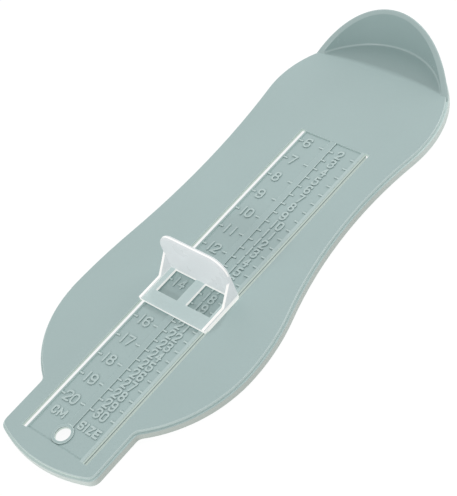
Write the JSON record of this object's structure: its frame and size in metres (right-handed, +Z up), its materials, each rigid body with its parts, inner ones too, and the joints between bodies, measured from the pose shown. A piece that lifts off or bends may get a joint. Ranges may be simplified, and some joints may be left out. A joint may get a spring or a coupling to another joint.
{
  "type": "foot measuring device",
  "caption": "Foot-shaped plastic gauge with a heel cup, raised centimetre and size scales between two slots, and a see-through toe stop that slides along them.",
  "frame": {"origin": "under the middle of the part's plan box, on the surface it lies on", "axes": "+Y from the tab to the heel cup, along the slots; +X to the right as the scale is read with the heel away; +Z up from the foot surface"},
  "size_m": [0.0918, 0.2302, 0.0236],
  "materials": {
    "base_plastic": "satin moulded grey-green plastic with a fine grain",
    "slider_plastic": "milky see-through plastic, smooth"
  },
  "bodies": {
    "base": {"foot_plate": "base_plastic", "edge_rim": "base_plastic", "heel_cup": "base_plastic", "left_guide_rib": "base_plastic", "right_guide_rib": "base_plastic", "hanging_ring": "base_plastic", "centre_ridge": "base_plastic", "centimetre_ticks": "base_plastic", "centimetre_figures": "base_plastic", "size_ticks": "base_plastic", "size_figures": "base_plastic", "scale_headings": "base_plastic"},
    "slider": {"slider_frame": "slider_plastic", "left_slider_rail": "slider_plastic", "right_slider_rail": "slider_plastic", "toe_stop": "slider_plastic", "left_stop_gusset": "slider_plastic", "right_stop_gusset": "slider_plastic", "left_snap_leg": "slider_plastic", "right_snap_leg": "slider_plastic"}
  },
  "joints": [
    {"name": "toe_stop_slide", "type": "slide", "parent": "base", "child": "slider", "axis": [0, 1, 0], "range_m": [-0.0664, 0.0795]}
  ]
}
